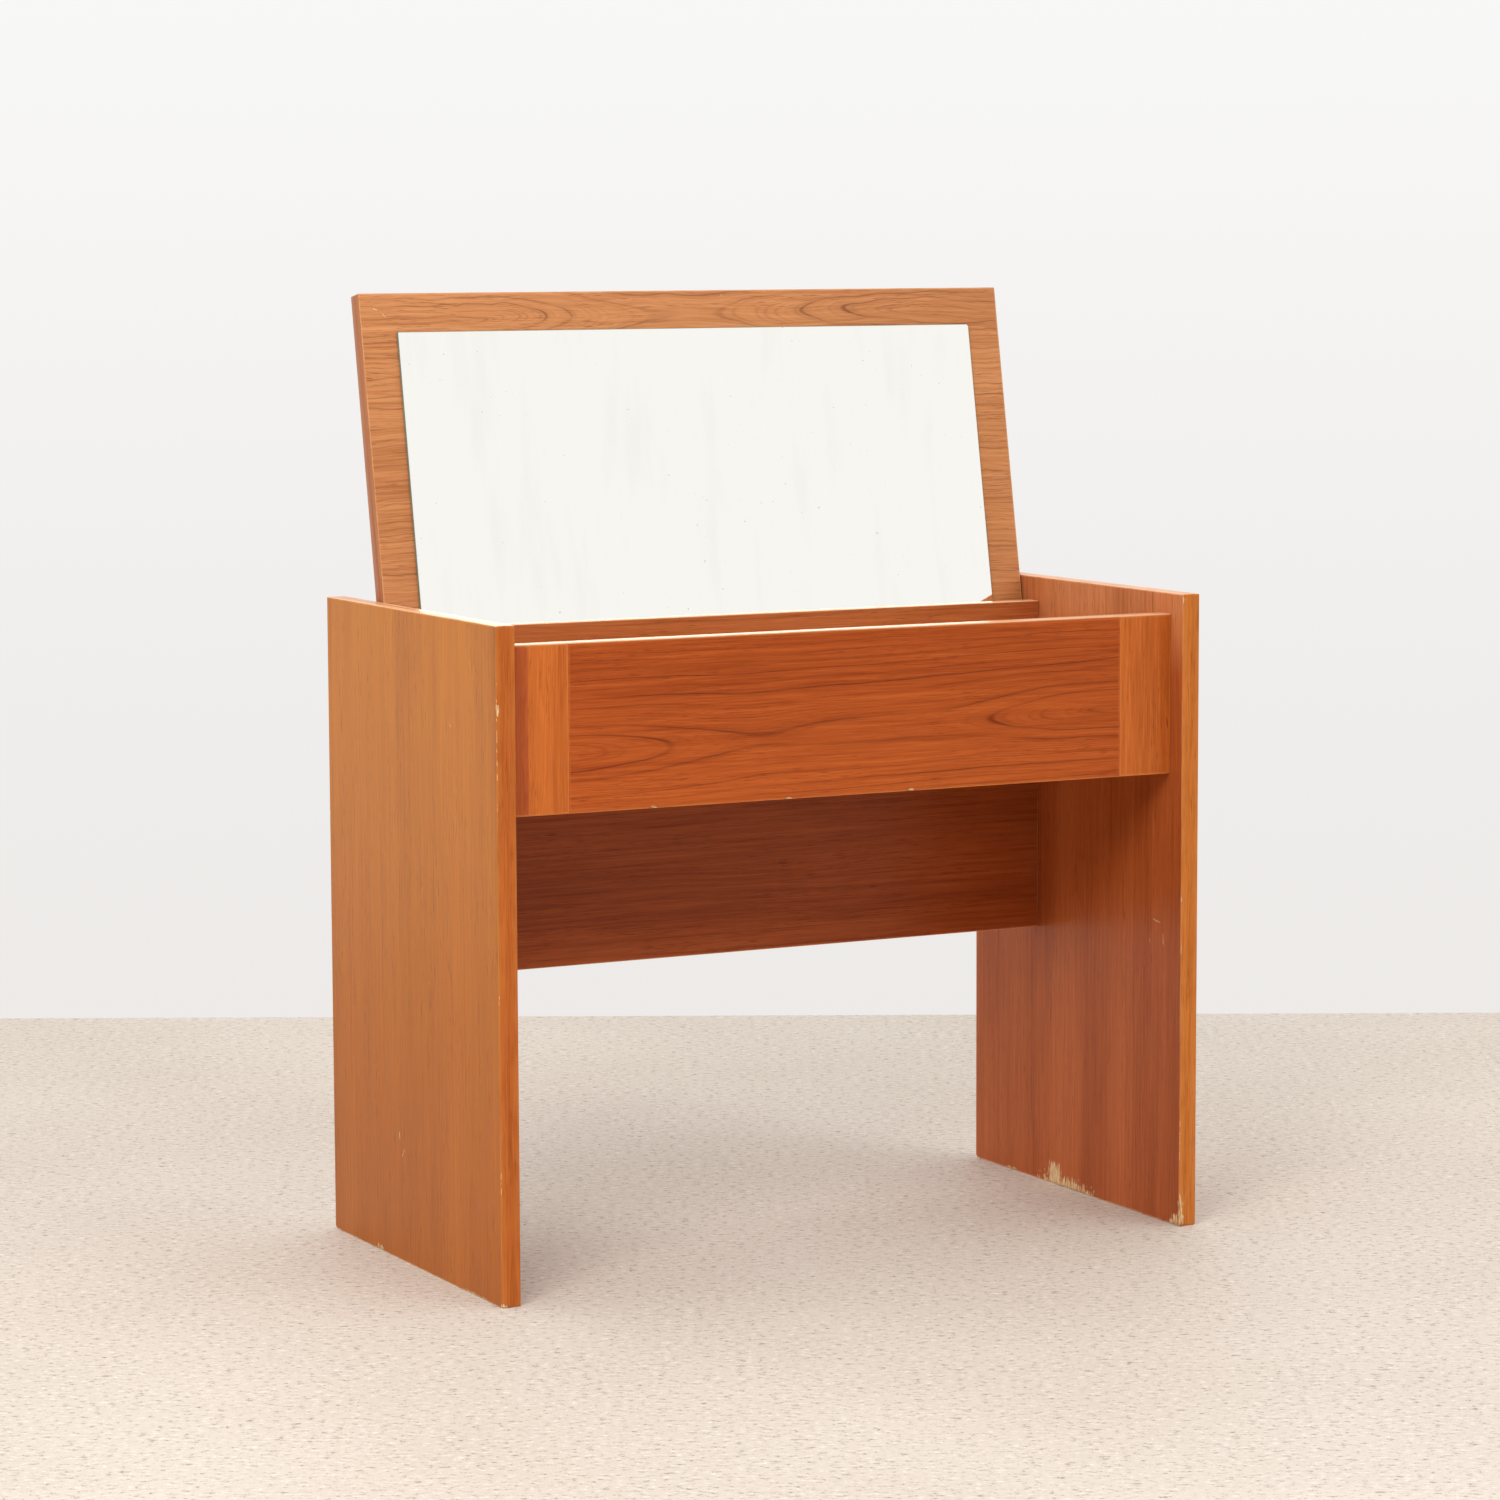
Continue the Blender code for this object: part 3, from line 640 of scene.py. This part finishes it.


# Tints that come in gradually from one place to another: along the grain (0) or across it (1), where the
# tint starts and is full, in metres, and how it changes each channel. The gables' outer faces are redder
# low down. Their inner faces are pale at the top, a painted sheen, and darker and redder below it,
# painted shade under the apron. The back panel is pale at its top, painted light and sheen, darker and
# redder below it, painted shade under the apron, and paler again low down, painted light that comes in
# under the apron. The left stile has a redder strip beside the gable, a painted shadow of the gable's
# front edge.
OUTER_SHADES = [(0, 0.62, 0.0, (0.84, 0.70, 0.78, 1.0))]
INNER_PAINTED_SHEEN_AND_SHADE = [(0, 0.635, 0.575, (0.77, 0.535, 0.36, 1.0))]
BACK_PAINTED_LIGHT_AND_SHADE = [(1, 0.62, 0.56, (0.70, 0.53, 0.43, 1.0)), (1, 0.42, 0.30, (1.16, 1.14, 1.10, 1.0))]
# The left stile's strip is a painted shadow cast by the left gable's front edge.
STILE_PAINTED_SHADOW = {"left": [(1, -0.3553, -0.3573, (0.80, 0.66, 0.88, 1.0))], "right": []}


def make_gables():
    """The two gables. The outer faces have a more yellow tone than the inner ones. The inner ones are
    palest at the top, behind the apron, a painted sheen, and darker below it, painted shade. The edges
    show the lippings' own grain."""
    seeds = {"left": 1.7, "right": 5.3}
    for side, seed in seeds.items():
        names = [side + "_gable"]
        names += [side + "_gable_" + edge + "_lipping" for edge in ("front", "back", "top")]
        low, high = corners(*names)
        label = side + "_gable_"
        marks = SCRATCHES[side]
        # The left gable is scratched on its outer face and the right one on its inner face.
        outer_marks, inner_marks = (marks, ()) if side == "left" else ((), marks)
        outer = teak(label + "outer_veneer", (Z, Y, X), "outer_gable", seed, GABLE_FIGURE, bands=0.45,
                     streaks=0.24, scratches=outer_marks, shades=OUTER_SHADES)
        # The inner faces carry a painted sheen at the top and painted shade below it.
        inner = teak(label + "inner_veneer", (Z, Y, X), "inner_gable", seed + 1, GABLE_FIGURE, bands=0.6,
                     streaks=0.36, scratches=inner_marks, shades=INNER_PAINTED_SHEEN_AND_SHADE)
        edge = teak(label + "edge_teak", (Z, X, Y), side + "_edge", seed + 3, bands=0.3, streaks=0.7,
                    wave=2.0)
        # The top edge's pale tone is a painted highlight.
        top = teak(label + "top_teak", (Y, X, Z), "top_edge_highlight", seed + 6, bands=0.3, gloss=POLISHED)
        pick = gable_picker(-1 if side == "left" else 1)
        piece = board(label + "slab", low, high, (Y, Z, X), [outer, inner, edge, top], pick,
                      radii=(CORNER, HEEL_CORNER, CORNER, CORNER), places=worn_places(side, low, high))
        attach(piece, "carcass")
        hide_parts(*names)


def worn_places(side, low, high):
    """The worn places of one gable, measured from its front foot."""
    faces = {"outer": low.x, "inner": high.x}
    if side == "right":
        faces = {"outer": high.x, "inner": low.x}
    places = []
    for face, (back, up), reach, strength in WORN_PLACES[side]:
        centre = (faces[face], low.y + back * MM, low.z + up * MM)
        places.append((centre, [part * MM for part in reach], strength))
    return places


# A softened edge takes the finish of the side that it mostly faces. It has to face a veneer a
# little more squarely than the lipping beside it, because the lipping shows on the arris.
MOSTLY = 0.75
HALFWAY = 0.7


def gable_picker(outward):
    """Pick finish 0 for a gable's outer face, 1 for its inner face, 2 for its upright edges and 3 for
    its top and foot."""
    def pick(normal):
        if abs(normal.x) > MOSTLY:
            return 0 if normal.x * outward > 0 else 1
        return 2 if abs(normal.y) > HALFWAY else 3
    return pick


def edge_picker(face_axis, end_axis):
    """Pick finish 0 for a board's faces, 1 for its ends and 2 for its other edges."""
    def pick(normal):
        if abs(normal[face_axis]) > MOSTLY:
            return 0
        return 1 if abs(normal[end_axis]) > HALFWAY else 2
    return pick


def only_finish(_):
    """Pick the one finish of a board that has the same on all its faces."""
    return 0


# Where the apron's lower edge is chipped, as parts of the field's length, and how far each goes.
CHIPPED_PARTS = (0.145, 0.385, 0.607)
CHIP_REACH = (4.5 * MM, 2 * MM, 3 * MM)


def make_apron():
    """The apron: a field of figured veneer between two upright stiles, edged above and below."""
    field_low, field_high = corners("apron_field")
    apron_low, apron_high = corners("apron_top_lipping", "apron_bottom_lipping")
    bottom = apron_low.z
    top = apron_high.z
    chips = []
    for part in CHIPPED_PARTS:
        chip_x = field_low.x + part * (field_high.x - field_low.x)
        chips.append(((chip_x, apron_low.y, bottom), CHIP_REACH, 1.0))
    field = board_between("apron_field_panel", "apron_field", bottom, top, "field", 2.2, X, APRON_FIGURE,
                          places=chips)
    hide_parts("apron_field")
    for side, seed in (("left", 8.1), ("right", 9.4)):
        # The left stile gets a painted shadow of the left gable's front edge.
        stile = board_between("apron_" + side + "_stile_panel", "apron_" + side + "_stile", bottom, top,
                              "stile", seed, Z, STRAIGHT, STILE_PAINTED_SHADOW[side])
        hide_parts("apron_" + side + "_stile")
    ends = {
        "bottom": (bottom, bottom + EDGE_STRIPS["bottom"], "stile", SATIN),
        # The top strip's pale tone is a painted highlight.
        "top": (top - EDGE_STRIPS["top"], top, "top_edge_highlight", POLISHED),
    }
    for edge, (low_z, high_z, tone, gloss) in ends.items():
        low, high = corners("apron_" + edge + "_lipping")
        low.z = low_z
        high.z = high_z
        finish = teak("apron_" + edge + "_edge_teak", (X, Y, Z), tone, 12.0, bands=0.3, streaks=0.4,
                      gloss=gloss)
        strip = board("apron_" + edge + "_edge", low, high, (X, Y, Z), [finish], only_finish,
                      radii=(STRIP_ARRIS,) * 4, arris=STRIP_ARRIS, places=chips)
        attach(strip, "carcass")
        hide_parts("apron_" + edge + "_lipping")


def board_between(name, cad_node, bottom, top, tone_name, seed, grain, figure, shades=(), places=()):
    """One of the apron's three panels, between its top and bottom edge strips."""
    low, high = corners(cad_node)
    low.z = bottom + EDGE_STRIPS["bottom"]
    high.z = top - EDGE_STRIPS["top"]
    across = Z if grain == X else X
    face = teak(name + "_veneer", (grain, across, Y), tone_name, seed, figure, bands=0.4, streaks=0.45,
                wave=1.5, shades=shades)
    piece = board(name, low, high, (X, Z, Y), [face], only_finish, radii=(FINE_ARRIS,) * 4,
                  arris=FINE_ARRIS, places=places)
    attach(piece, "carcass")
    return piece


def make_back_panel():
    """The back panel, its faces level-grained and its edges lipped. Its faces are pale at the top,
    painted light and sheen, darker below it, painted shade under the apron, and paler again low down,
    painted light that comes in under the apron.
    """
    names = ("back_panel", "back_panel_top_lipping", "back_panel_bottom_lipping")
    low, high = corners(*names)
    finishes = [
        # The veneer's tints paint shade under the apron and light low down.
        teak("back_panel_veneer", (X, Z, Y), "back", 3.9, BACK_FIGURE, bands=0.35, wave=1.5,
             shades=BACK_PAINTED_LIGHT_AND_SHADE),
        teak("back_panel_edge_teak", (X, Y, Z), "stile", 4.6, bands=0.3, streaks=0.4),
        # The long edges take the pale top-edge tone, a painted highlight.
        teak("back_panel_long_edge_teak", (X, Y, Z), "top_edge_highlight", 4.6, bands=0.3, streaks=0.4,
             gloss=POLISHED),
    ]
    piece = board("back_panel_slab", low, high, (X, Z, Y), finishes, edge_picker(Y, X))
    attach(piece, "carcass")
    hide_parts(*names)


def make_lid():
    """The lid, built lying closed in the hinge's frame and turned open with it. Its inner face is paler
    than its top, partly in the wood's own tone and partly as painted sheen."""
    names = ["lid_board"] + ["lid_" + edge + "_lipping" for edge in ("front", "back", "left", "right")]
    low, high = closed_lid_corners(*names)
    finishes = [
        # The inner face's pale tone is partly painted sheen.
        teak("lid_inner_veneer", (X, Y, Z), "lid", 0.0, LID_FIGURE, bands=0.35, streaks=0.38, wave=5.0,
             scratches=SCRATCHES["lid"]),
        teak("lid_end_teak", (Y, Z, X), "lid_edge", 7.2, bands=0.3, streaks=0.4),
        teak("lid_edge_teak", (X, Z, Y), "lid", 6.1, bands=0.3, streaks=0.4),
        teak("lid_top_veneer", (X, Y, Z), "lid_top", 2.3, LID_FIGURE, bands=0.35, streaks=0.38, wave=5.0),
    ]
    pick_edge = edge_picker(Z, X)

    def pick(normal):
        return 3 if normal.z > MOSTLY else pick_edge(normal)

    piece = board("lid_slab", low, high, (X, Y, Z), finishes, pick)
    lay_open(piece)
    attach(piece, "lid")
    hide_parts(*names)


def lay_open(piece):
    """Turn a piece of the lid from lying closed to standing open."""
    piece.matrix_world = Matrix.Translation(PIVOT) @ Matrix.Rotation(-LID_TURN, 4, "X")


# Only what faces this squarely out of the plate is silvered, and turns sharper than this show as
# edges, so that the silver reflects as one flat plane. Glue fills most of the gap to the lid.
FLAT_GLASS = 0.98
GLASS_TURN = math.radians(5)
GLASS_ARRIS = 0.4 * MM
GLASS_CORNER = 0.6 * MM
ROUND_GLASS_CORNER = 4 * MM
GLUE = 0.25 * MM


def make_mirror():
    """The mirror plate: silvered face and ground edges. Its corners are just broken, apart from the
    right one at the front, which is rounder."""
    low, high = closed_lid_corners("mirror")
    high.z += GLUE

    def pick(normal):
        return 0 if abs(normal.z) > FLAT_GLASS else 1

    piece = board("mirror_plate", low, high, (X, Y, Z), [silvered_glass(), glass_edge()], pick,
                  radii=(GLASS_CORNER, ROUND_GLASS_CORNER, GLASS_CORNER, GLASS_CORNER), arris=GLASS_ARRIS)
    piece.data.set_sharp_from_angle(angle=GLASS_TURN)
    lay_open(piece)
    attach(piece, "lid")
    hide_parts("mirror")


def finish_hidden_pieces():
    """Give the small pieces and the inside of the table their own finishes."""
    # Bare beech, pine and birch plywood: pale and dull, with flecks drawn out along the grain that
    # are finest in beech and broadest in the plywood's peeled veneer.
    beech = plain_finish("bare_beech", "#C09466", "#DDB98A", 0.55, 0.0, 1.2, 8)
    pine = plain_finish("bare_pine", "#C99F68", "#E2C190", 0.6, 0.0, 2.5, 12)
    birch = plain_finish("birch_plywood", "#BF9A69", "#D9BB8C", 0.55, 0.0, 4.0, 10)
    # Turned steel and brass: bright metal, its shine broken up by fine tool marks.
    steel = plain_finish("turned_steel", "#8F9194", "#C4C6C8", 0.3, 1.0, 0.8)
    brass = plain_finish("turned_brass", "#A88440", "#D2AE62", 0.3, 1.0, 0.8)
    # A screw's name holds its batten's too, so the screws come after the battens.
    finishes = {
        "dowel": beech, "tongue": beech, "batten": pine, "compartment": birch,
        "screw": steel, "pivot_pin": steel, "bush": brass,
    }
    for name in frame["nodes"]:
        for word, finish in finishes.items():
            if word in name:
                set_finish(name, finish)


def set_finish(name, finish):
    """Give one CAD node a finish."""
    obj = frame["nodes"][name]
    if not obj.material_slots:
        obj.data.materials.append(finish)
    for slot in obj.material_slots:
        slot.material = finish


# ---------------------------------------------------------------- the studio

# Where the camera stands, in metres, how it is turned, and its lens and sensor in millimetres.
CAMERA_PLACE = Vector((-2.2210, -4.2142, 1.0339))
CAMERA_YAW = math.radians(27.62)
CAMERA_PITCH = math.radians(-6.351)
CAMERA_ROLL = math.radians(-0.2205)
CAMERA_LENS = 110.65
SENSOR = 36


def make_camera():
    """The camera, standing to the front left and looking slightly down."""
    data = bpy.data.cameras.new("camera")
    data.sensor_width = SENSOR
    data.lens = CAMERA_LENS
    camera = bpy.data.objects.new("camera", data)
    ahead = Vector((
        math.sin(CAMERA_YAW) * math.cos(CAMERA_PITCH),
        math.cos(CAMERA_YAW) * math.cos(CAMERA_PITCH),
        math.sin(CAMERA_PITCH),
    ))
    level = Vector((math.cos(CAMERA_YAW), -math.sin(CAMERA_YAW), 0))
    upright = level.cross(ahead)
    right = level * math.cos(CAMERA_ROLL) + upright * math.sin(CAMERA_ROLL)
    up = upright * math.cos(CAMERA_ROLL) - level * math.sin(CAMERA_ROLL)
    turn = Matrix((right, up, -ahead)).transposed()
    camera.matrix_world = Matrix.Translation(CAMERA_PLACE) @ turn.to_4x4()
    bpy.context.scene.collection.objects.link(camera)
    bpy.context.scene.camera = camera


# How far the floor reaches behind the table, ahead of it and to each side, in metres, and how far
# below the table's feet it lies, so that the two don't share a plane.
FLOOR_BEHIND = 1.32
FLOOR_AHEAD = 12
FLOOR_HALF_WIDTH = 9
FLOOR_DROP = 0.2 * MM


def make_floor():
    """A plain pale floor. Its far edge lies square to the camera, where the wall would stand."""
    bm = bmesh.new()
    corners_flat = (
        (-FLOOR_HALF_WIDTH, -FLOOR_AHEAD),
        (FLOOR_HALF_WIDTH, -FLOOR_AHEAD),
        (FLOOR_HALF_WIDTH, FLOOR_BEHIND),
        (-FLOOR_HALF_WIDTH, FLOOR_BEHIND),
    )
    bm.faces.new([bm.verts.new((x, y, -FLOOR_DROP)) for x, y in corners_flat])
    floor = add_piece("floor", bm, [floor_finish()])
    floor.rotation_euler.z = -CAMERA_YAW


def floor_finish():
    """Ground concrete: pale and faintly clouded, with specks of its aggregate showing."""
    material = bpy.data.materials.new("ground_concrete")
    material.use_nodes = True
    tree = material.node_tree
    shader = tree.nodes["Principled BSDF"]
    space = grain_space(tree, (X, Y, Z), 0.0)
    clouds = stretched_noise(tree, space, 420, 420, 4.0)
    grit = stretched_noise(tree, space, 10, 6, 4.0, 0.8)
    dark_grit = node(tree, "MapRange", grit, 0.55, 0.66, 0.0, 0.9, **EASED)
    pale_grit = node(tree, "MapRange", grit, 0.45, 0.34, 0.0, 0.8, **EASED)
    colour = node(tree, "Mix", clouds, linear("#CBBFB3"), linear("#DED4CA"), **COLOURS)
    colour = node(tree, "Mix", dark_grit, colour, linear("#85776A"), **COLOURS)
    colour = node(tree, "Mix", pale_grit, colour, linear("#F1EBE4"), **COLOURS)
    roughness = node(tree, "MapRange", grit, 0.3, 0.7, 0.60, 0.68, **EASED)
    tree.links.new(colour, shader.inputs["Base Color"])
    tree.links.new(roughness, shader.inputs["Roughness"])
    raise_surface(tree, grit, 0.15, 0.3 * MM)
    return material


def add_lamp(name, place, aim, size, power, colour):
    """A large soft lamp."""
    data = bpy.data.lights.new(name, "AREA")
    data.shape = "RECTANGLE"
    data.size, data.size_y = size
    data.energy = power
    data.color = linear(colour)[:3]
    lamp = bpy.data.objects.new(name, data)
    lamp.location = place
    lamp.rotation_euler = (Vector(aim) - Vector(place)).to_track_quat("-Z", "Y").to_euler()
    bpy.context.scene.collection.objects.link(lamp)


def make_light():
    """A pale studio: a lit wall behind and at the sides, a dim room in front of it, a white panel
    ahead on the right, which the open mirror faces, and soft lamps above."""
    world = bpy.data.worlds.new("studio")
    world.use_nodes = True
    tree = world.node_tree
    background = tree.nodes["Background"]
    place = node(tree, "TexCoord").node.outputs["Generated"]
    parts = node(tree, "SeparateXYZ", place).node.outputs
    behind = node(tree, "MapRange", parts[Y], -0.5, 0.45, **EASED)
    surround = node(tree, "Mix", behind, linear(ROOM), linear(WALL), **COLOURS)
    towards = node(tree, "VectorMath", place, PANEL_WAY, operation="DOT_PRODUCT")
    edges = [math.cos(math.radians(spread)) for spread in PANEL_SPREAD]
    panel = node(tree, "MapRange", towards, *edges, **EASED)
    surround = node(tree, "Mix", panel, surround, linear(PANEL), **COLOURS)
    above = node(tree, "MapRange", parts[Z], 0.45, 0.8, **EASED)
    surround = node(tree, "Mix", above, surround, linear(CEILING), **COLOURS)
    height = node(tree, "MapRange", parts[Z], -0.2, 0.15, **EASED)
    wall = node(tree, "Mix", height, linear(WALL_LOW), linear(WALL_HIGH), **COLOURS)
    seen = node(tree, "LightPath").node.outputs["Is Camera Ray"]
    colour = node(tree, "Mix", seen, surround, wall, **COLOURS)
    strength = node(tree, "Math", above, CEILING_GAIN, 1.0, operation="MULTIPLY_ADD")
    tree.links.new(colour, background.inputs["Color"])
    tree.links.new(strength, background.inputs["Strength"])
    bpy.context.scene.world = world
    for name, way, away, size, power in SOFTBOXES:
        add_lamp(name, Vector(way) * away, LAMP_AIM, size, power, LAMP_COLOUR)
    bpy.context.scene.view_settings.view_transform = "Standard"


def direction(azimuth, elevation):
    """A direction, from degrees to the right of straight ahead of the table and degrees up."""
    turn = math.radians(azimuth)
    tilt = math.radians(elevation)
    return (math.sin(turn) * math.cos(tilt), -math.cos(turn) * math.cos(tilt), math.sin(tilt))


# What lights the table: the room in front, the wall behind, the white panel and the ceiling with
# its extra strength. The panel fades in between the two angles from its middle.
ROOM = "#5E5A57"
WALL = "#F2F0EE"
PANEL = "#F9F8F5"
CEILING = "#FFFEFB"
CEILING_GAIN = 0.25
PANEL_WAY = direction(28, 20)
PANEL_SPREAD = (24, 17)

# What the camera sees behind the table, low down and high up.
WALL_LOW = "#EDEAE8"
WALL_HIGH = "#FBFBFB"

# The lamps: their direction, distance and size in metres, and power in watts.
LAMP_AIM = (0, 0, 0.4)
LAMP_COLOUR = "#FFFCF7"
SOFTBOXES = (
    ("left_softbox", direction(-46, 40), 4.0, (1.4, 1.4), 60),
    ("right_softbox", direction(60, 42), 4.0, (1.8, 1.8), 10),
    ("far_softbox", direction(30, 29), 11.0, (4.6, 2.0), 90),
    ("side_softbox", direction(-110, 40), 4.0, (1.8, 1.8), 4),
)


make_camera()
make_floor()
make_light()
make_gables()
make_apron()
make_back_panel()
make_lid()
make_mirror()
finish_hidden_pieces()
